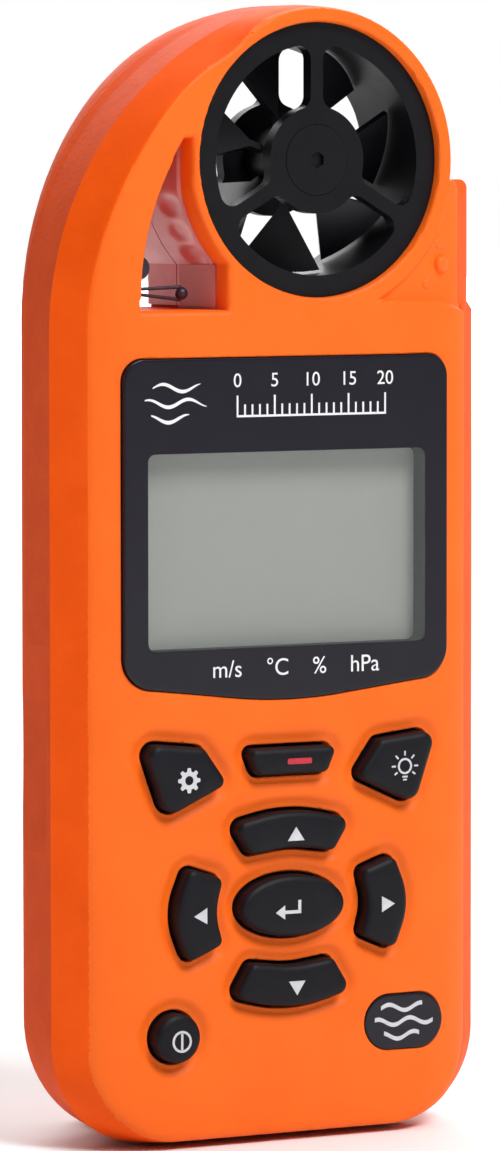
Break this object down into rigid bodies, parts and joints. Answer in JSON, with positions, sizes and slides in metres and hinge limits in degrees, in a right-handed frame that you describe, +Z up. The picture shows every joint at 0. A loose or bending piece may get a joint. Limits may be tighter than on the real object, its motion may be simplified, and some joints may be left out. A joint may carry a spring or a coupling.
{
  "type": "handheld weather meter",
  "caption": "Upright pocket weather meter: screened front with keys, open sensor window and a round vane impeller at the head, battery door at the back.",
  "frame": {"origin": "centre of the foot: the middle of the outer box in X and Y, on the surface it stands on", "axes": "+Z up along the body towards the impeller, -Y out of the face with the display and keys, +X to the right of the face"},
  "size_m": [0.0544, 0.028, 0.127],
  "materials": {
    "case_orange": "moulded, satin",
    "case_textured": "fine spark texture",
    "seal_rubber": "soft",
    "lens_clear": "clear window with dark printed border",
    "lcd_grey": "reflective liquid crystal",
    "frame_white": "moulded",
    "board_green": "solder mask",
    "chip_black": "moulded",
    "shield_tin": "plain",
    "key_rubber": "matt silicone",
    "badge_dark": "satin",
    "impeller_black": "fine moulded",
    "jewel": "polished",
    "steel": "plain",
    "brass": "plain",
    "sensor_dark": "epoxy",
    "sensor_clear": "translucent",
    "cell_wrap": "shrink sleeve"
  },
  "bodies": {
    "case": {"front_case": "case_orange", "rear_case": "case_textured", "case_seal": "seal_rubber", "display_lens": "lens_clear", "lens_gasket": "seal_rubber", "lcd_panel": "lcd_grey", "lcd_frame": "frame_white", "backlight_panel": "frame_white", "display_flex": "brass", "main_board": "board_green", "board_chips": "chip_black", "radio_module": "shield_tin", "pressure_sensor": "shield_tin", "compass_sensor": "chip_black", "beeper": "chip_black", "keypad_membrane": "key_rubber", "switch_domes": "steel", "board_screws": "steel", "badge_inlay": "badge_dark", "impeller_guard_front": "impeller_black", "impeller_guard_rear": "impeller_black", "hub_cap": "impeller_black", "bearing_front": "jewel", "bearing_rear": "jewel", "pickup_sensor": "chip_black", "thermistor": "sensor_dark", "humidity_sensor": "sensor_dark", "sensor_carrier": "sensor_clear", "battery_tray": "impeller_black", "battery": "cell_wrap", "contact_positive": "steel", "contact_spring": "steel", "contact_negative": "steel", "hinge_pin": "steel", "tripod_insert": "brass", "case_screws": "steel"},
    "impeller": {"impeller_rotor": "impeller_black", "impeller_shaft": "steel", "impeller_magnet": "chip_black"},
    "door": {"battery_door": "case_textured", "door_gasket": "seal_rubber"},
    "latch": {"latch_screw": "impeller_black", "latch_cam": "steel"},
    "key_settings": {"key_settings": "key_rubber"},
    "key_capture": {"key_capture": "key_rubber"},
    "key_backlight": {"key_backlight": "key_rubber"},
    "key_up": {"key_up": "key_rubber"},
    "key_down": {"key_down": "key_rubber"},
    "key_left": {"key_left": "key_rubber"},
    "key_right": {"key_right": "key_rubber"},
    "key_enter": {"key_enter": "key_rubber"},
    "key_power": {"key_power": "key_rubber"}
  },
  "joints": [
    {"name": "impeller_spin", "type": "hinge", "parent": "case", "child": "impeller", "pos_m": [0.00431, -0.0035, 0.10967], "axis": [0, 1, 0], "continuous": true},
    {"name": "door_hinge", "type": "hinge", "parent": "case", "child": "door", "pos_m": [0, 0.0124, 0.0745], "axis": [1, 0, 0], "range_deg": [0, 85]},
    {"name": "latch_turn", "type": "hinge", "parent": "door", "child": "latch", "pos_m": [0, 0.0128, 0.0102], "axis": [0, 1, 0], "range_deg": [0, 90]},
    {"name": "press_settings", "type": "slide", "parent": "case", "child": "key_settings", "axis": [0, 1, 0], "range_m": [0, 0.0006], "stiffness_N_per_m": 3000},
    {"name": "press_capture", "type": "slide", "parent": "case", "child": "key_capture", "axis": [0, 1, 0], "range_m": [0, 0.0006], "stiffness_N_per_m": 3000},
    {"name": "press_backlight", "type": "slide", "parent": "case", "child": "key_backlight", "axis": [0, 1, 0], "range_m": [0, 0.0006], "stiffness_N_per_m": 3000},
    {"name": "press_up", "type": "slide", "parent": "case", "child": "key_up", "axis": [0, 1, 0], "range_m": [0, 0.0006], "stiffness_N_per_m": 3000},
    {"name": "press_down", "type": "slide", "parent": "case", "child": "key_down", "axis": [0, 1, 0], "range_m": [0, 0.0006], "stiffness_N_per_m": 3000},
    {"name": "press_left", "type": "slide", "parent": "case", "child": "key_left", "axis": [0, 1, 0], "range_m": [0, 0.0006], "stiffness_N_per_m": 3000},
    {"name": "press_right", "type": "slide", "parent": "case", "child": "key_right", "axis": [0, 1, 0], "range_m": [0, 0.0006], "stiffness_N_per_m": 3000},
    {"name": "press_enter", "type": "slide", "parent": "case", "child": "key_enter", "axis": [0, 1, 0], "range_m": [0, 0.0006], "stiffness_N_per_m": 3000},
    {"name": "press_power", "type": "slide", "parent": "case", "child": "key_power", "axis": [0, 1, 0], "range_m": [0, 0.0006], "stiffness_N_per_m": 3000}
  ]
}
